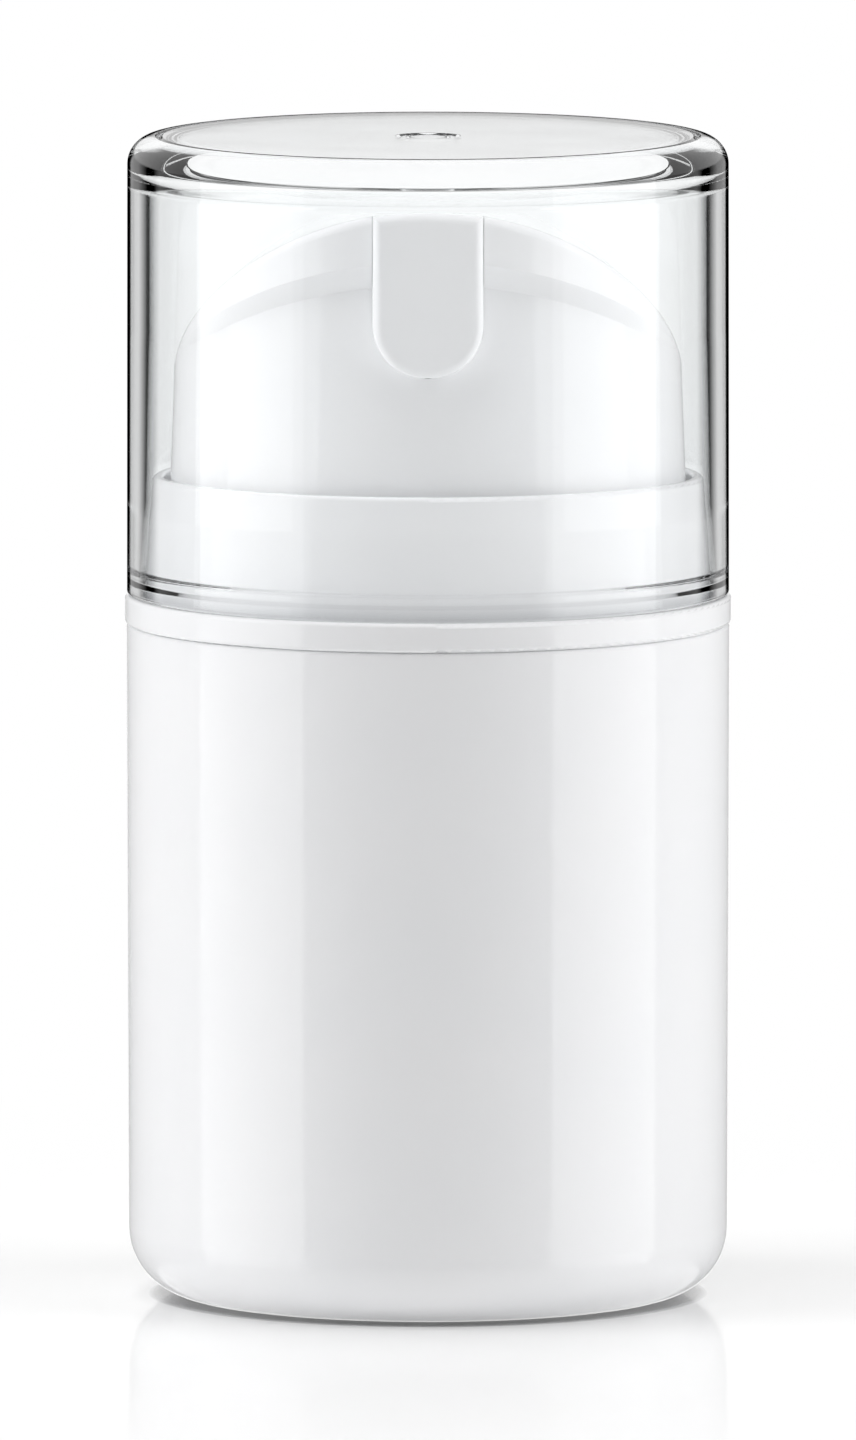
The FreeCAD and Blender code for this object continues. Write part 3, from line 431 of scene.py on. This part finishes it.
for row, order in ((0, -1), (STEPS, 1)):
    faces.append([row * AROUND + k for k in range(AROUND)][::order])
    corners_uv += [(row * along, k * girth) for k in range(AROUND)]
spring_mesh = bpy.data.meshes.new("wound_return_spring")
spring_mesh.from_pydata(points, [], faces)
spring_mesh.shade_smooth()
wire_map = spring_mesh.uv_layers.new(name="wire_metres")
for corner, spot in zip(wire_map.data, corners_uv):
    corner.uv = spot
spring = bpy.data.objects.new("wound_return_spring", spring_mesh)
bpy.context.scene.collection.objects.link(spring)
spring.data.materials.append(WIRE)
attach(spring, "bottle")
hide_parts("return_spring")
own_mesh(spring)
print("spring", TURNS, "turns from", round(spring_low, 2), "to", round(spring_high, 2), "mm")

# %% [markdown]
# ## The floor
# The bottle stands on a sheet of glossy white acrylic. Far away the sheet is simply white, so it shows a
# strength of 1 to the camera there. Near the bottle it takes real light, so it keeps the shadow and a faint
# reflection. Where the foot meets it, a thin painted contact shadow is added: ambient occlusion darkens the
# sheet's colour there, finer than the lamps alone draw.

# %% Floor
SIDE = 4.0
# The sheet takes real light up to the first distance from the axis and is plain white from the second.
LIT_TO = 22 * MM
WHITE_FROM = 130 * MM
floor_mesh = bpy.data.meshes.new("floor")
floor_mesh.from_pydata(
    [(-SIDE, -SIDE, 0), (SIDE, -SIDE, 0), (SIDE, SIDE, 0), (-SIDE, SIDE, 0)], [], [(0, 1, 2, 3)])
floor = bpy.data.objects.new("floor", floor_mesh)
bpy.context.scene.collection.objects.link(floor)
floor.visible_glossy = False
floor.visible_transmission = False
floor_finish, tree = new_finish("glossy_white_acrylic_sheet")
path = add(tree, "ShaderNodeLightPath")
place = add(tree, "ShaderNodeTexCoord")
contact_shadow_occlusion = add(tree, "ShaderNodeAmbientOcclusion", {"Distance": 1.2 * MM}, samples=8)
# Only the camera gets the painted contact shadow, so the foot above it still takes light from a white sheet.
unseen = add(tree, "ShaderNodeMath", {0: 1.0}, [(1, path, "Is Camera Ray")], operation="SUBTRACT")
painted_contact_shadow = add(tree, "ShaderNodeMath", {1: 1.8}, [(0, contact_shadow_occlusion, "AO")], operation="POWER")
open_share = add(tree, "ShaderNodeMath", (), [(0, painted_contact_shadow, "Value"), (1, unseen, "Value")], operation="MAXIMUM")
# Painted contact shadow: the sheet's colour goes near black where the occlusion is full.
paint = add(tree, "ShaderNodeMix", {"A": linear("202020"), "B": linear("FFFFFF")}, [(0, open_share, "Value")],
            data_type="RGBA")
sheet = add(tree, "ShaderNodeBsdfPrincipled", {"Roughness": 0.1, "IOR": 1.45},
            [("Base Color", paint, "Result")])
white = add(tree, "ShaderNodeEmission", {"Color": linear("FFFFFF"), "Strength": 1.0})
away = add(tree, "ShaderNodeVectorMath", (), [(0, place, "Object")], operation="LENGTH")
spread = add(tree, "ShaderNodeMapRange", {"From Min": LIT_TO, "From Max": WHITE_FROM},
             [("Value", away, "Value")], interpolation_type="SMOOTHSTEP")
share = add(tree, "ShaderNodeMath", (), [(0, path, "Is Camera Ray"), (1, spread, "Result")],
            operation="MULTIPLY")
mixed = add(tree, "ShaderNodeMixShader", (),
            [(0, share, "Value"), (1, sheet, "BSDF"), (2, white, "Emission")])
add(tree, "ShaderNodeOutputMaterial", (), [("Surface", mixed, "Shader")])
floor_mesh.materials.append(floor_finish)
print("floor", 2 * SIDE, "m wide")

# %% [markdown]
# ## What the plastics mirror
# White plastic on white needs something to mirror: a tall softbox on each side gives the bottle its upright
# bands, and a dim camera side keeps its middle calm. The clear wall needs dark flags as well, or it would
# vanish on white. Lamps in those places would burn out the pale plastic, so a ring far around the bottle
# carries the picture instead. Only mirrored and refracted rays see it. Its light follows the angle away
# from straight behind: one list for gloss, one for light that has run along the cap's wall, and plain white
# for what is seen straight through the cap.

# %% Studio ring
RING_RADIUS = 2.0
RING_LOW, RING_HIGH = -0.8, 1.6
RING_STEPS = 180
ring_points = []
for z in (RING_LOW, RING_HIGH):
    for i in range(RING_STEPS):
        turn = 2 * math.pi * i / RING_STEPS
        ring_points.append((RING_RADIUS * math.sin(turn), -RING_RADIUS * math.cos(turn), z))
ring_faces = []
for i in range(RING_STEPS):
    j = (i + 1) % RING_STEPS
    ring_faces.append((i, j, RING_STEPS + j, RING_STEPS + i))
ring_mesh = bpy.data.meshes.new("studio_ring")
ring_mesh.from_pydata(ring_points, [], ring_faces)
ring = bpy.data.objects.new("studio_ring", ring_mesh)
bpy.context.scene.collection.objects.link(ring)
ring.visible_camera = False
ring.visible_diffuse = False
ring.visible_shadow = False
print("ring", RING_STEPS, "faces")

# %% [markdown]
# ## The ring's light
# Each list below gives angle and light. The colours in a ramp can't pass 1, so they hold half the light and
# the emission has a strength of 2. Light that has run along the cap's wall leaves it about 7 degrees short
# of its mirror angle, so that list is read 7 degrees further on. For the wall a black flag stands straight
# behind the bottle and one stands to each side of that, with a pale strip between them. The light path
# tells the cases apart: how often a ray was mirrored, how many faces of the cap it went through, and
# whether they were polished.

# %% Ring light
SOFTBOXES = [(82, 0.7), (83, 1.9), (131, 1.8)]
GLOSS = [(0, 1.0), (5, 1.0), (9, 0.45), (30, 0.45), (60, 0.6)] + SOFTBOXES + [(132, 0.3), (180, 0.25)]
BACK_FLAG = [(0, 0.0), (17, 0.0)]
PALE_STRIP = [(20, 0.65), (33, 0.7)]
SIDE_FLAG = [(43, 0.0), (50, 0.0)]
DIM_SIDE = [(55, 0.7), (65, 0.5)]
WALL = BACK_FLAG + PALE_STRIP + SIDE_FLAG + DIM_SIDE + SOFTBOXES + [(132, 1.2), (180, 1.3)]
WALL_LAG = math.radians(7)
# Heights on the ring between which one picture gives way to the next, in metres.
FLAGS_REPEAT = {"From Min": -0.3, "From Max": -0.35}
WHITE_ABOVE = {"From Min": 0.2, "From Max": 0.28}
ring_finish, tree = new_finish("softboxes_and_black_flags")
place = add(tree, "ShaderNodeTexCoord")
path = add(tree, "ShaderNodeLightPath")
axes = add(tree, "ShaderNodeSeparateXYZ", (), [("Vector", place, "Object")])
aside = add(tree, "ShaderNodeMath", (), [(0, axes, "X")], operation="ABSOLUTE")
turn = add(tree, "ShaderNodeMath", (), [(0, aside, "Value"), (1, axes, "Y")], operation="ARCTAN2")
lag = add(tree, "ShaderNodeMath", {1: WALL_LAG}, [(0, path, "Is Transmission Ray")], operation="MULTIPLY")
late = add(tree, "ShaderNodeMath", (), [(0, turn, "Value"), (1, lag, "Value")], operation="ADD")
# Lower down, which steeper views see, the flags come back every quarter turn, so the cap shows from any side.
quarter = add(tree, "ShaderNodeMath", {1: math.pi / 4}, [(0, late, "Value")], operation="PINGPONG")
below = add(tree, "ShaderNodeMapRange", FLAGS_REPEAT, [("Value", axes, "Z")])
flag_turn = add(tree, "ShaderNodeMix", (),
                [(0, below, "Result"), ("A", late, "Value"), ("B", quarter, "Value")], data_type="FLOAT")
ramps = []
for angle, output, stops in ((turn, "Value", GLOSS), (flag_turn, "Result", WALL)):
    part_way = add(tree, "ShaderNodeMapRange", {"From Max": math.pi}, [("Value", angle, output)])
    ramp = add(tree, "ShaderNodeValToRGB", (), [("Fac", part_way, "Result")])
    for _ in stops[2:]:
        ramp.color_ramp.elements.new(0.5)
    for element, (degrees, light) in zip(ramp.color_ramp.elements, stops):
        element.position = degrees / 180
        element.color = (light / 2, light / 2, light / 2, 1)
    ramps.append(ramp)
HALF = (0.5, 0.5, 0.5, 1)
# Higher up the walls are white, so the cap's flat top stays light and only its far edge is drawn dark.
above = add(tree, "ShaderNodeMapRange", WHITE_ABOVE, [("Value", axes, "Z")])
flags = add(tree, "ShaderNodeMix", {"B": HALF}, [(0, above, "Result"), ("A", ramps[1], "Color")],
            data_type="RGBA")
glanced = add(tree, "ShaderNodeMath", {1: 0.5}, [(0, path, "Glossy Depth")], operation="GREATER_THAN")
shallow = add(tree, "ShaderNodeMath", {1: 2.5}, [(0, path, "Transmission Depth")], operation="LESS_THAN")
wall = add(tree, "ShaderNodeMath", (), [(0, glanced, "Value"), (1, shallow, "Value")], operation="MULTIPLY")
plain = add(tree, "ShaderNodeMix", {"A": HALF}, [(0, glanced, "Value"), ("B", ramps[0], "Color")],
            data_type="RGBA")
clear = add(tree, "ShaderNodeMix", (), [(0, wall, "Value"), ("A", plain, "Result"), ("B", flags, "Result")],
            data_type="RGBA")
chosen = add(tree, "ShaderNodeMix", (),
             [(0, path, "Is Singular Ray"), ("A", ramps[0], "Color"), ("B", clear, "Result")],
             data_type="RGBA")
glow = add(tree, "ShaderNodeEmission", {"Strength": 2.0}, [("Color", chosen, "Result")])
add(tree, "ShaderNodeOutputMaterial", (), [("Surface", glow, "Emission")])
ring_mesh.materials.append(ring_finish)
print("ring light:", len(GLOSS), "and", len(WALL), "stops")

# %% [markdown]
# ## The room
# The room is white to the camera, to mirrors and to glass. To everything else it is a weak fill, so that the
# white doesn't light the bottle a second time.

# %% World
world = bpy.data.worlds.new("white_room")
bpy.context.scene.world = world
world.use_nodes = True
tree = world.node_tree
tree.nodes.clear()
path = add(tree, "ShaderNodeLightPath")
fill = add(tree, "ShaderNodeBackground", {"Color": linear("FFFFFF"), "Strength": 0.1})
backdrop = add(tree, "ShaderNodeBackground", {"Color": linear("FFFFFF"), "Strength": 1.0})
first = add(tree, "ShaderNodeMath", (), [(0, path, "Is Camera Ray"), (1, path, "Is Transmission Ray")],
            operation="MAXIMUM")
shown = add(tree, "ShaderNodeMath", (), [(0, first, "Value"), (1, path, "Is Glossy Ray")],
            operation="MAXIMUM")
mixed = add(tree, "ShaderNodeMixShader", (),
            [(0, shown, "Value"), (1, fill, "Background"), (2, backdrop, "Background")])
add(tree, "ShaderNodeOutputWorld", (), [("Surface", mixed, "Shader")])
print("world", world.name)

# %% [markdown]
# ## The lamps
# Two broad softboxes stand at the sides, a little towards the camera, so the bottle is brightest at its sides
# and greyest in its middle, as in the photograph. A third hangs above, a little to the left: it lights
# the floor, the vault of the push head and its crest, and lays the soft shade to the right of the tongue.


# %% Lamps
MIDDLE = Vector((0, 0, 0.045))


def softbox(name, place, width, height, power):
    """A broad lamp turned to the bottle; the ring gives its reflection."""
    lamp = bpy.data.lights.new(name, "AREA")
    lamp.shape = "RECTANGLE"
    lamp.size = width
    lamp.size_y = height
    lamp.energy = power
    box = bpy.data.objects.new(name, lamp)
    box.location = place
    box.rotation_euler = (MIDDLE - box.location).to_track_quat("-Z", "Y").to_euler()
    box.visible_camera = False
    box.visible_glossy = False
    box.visible_transmission = False
    bpy.context.scene.collection.objects.link(box)
    print(name, power, "W")
    return box


softbox("left_softbox", (-0.85, -0.14, 0.45), 0.7, 0.7, 6.3)
softbox("right_softbox", (0.85, -0.14, 0.45), 0.7, 0.7, 6.7)
softbox("top_softbox", (-0.12, -0.08, 1.1), 0.6, 0.6, 4.8)
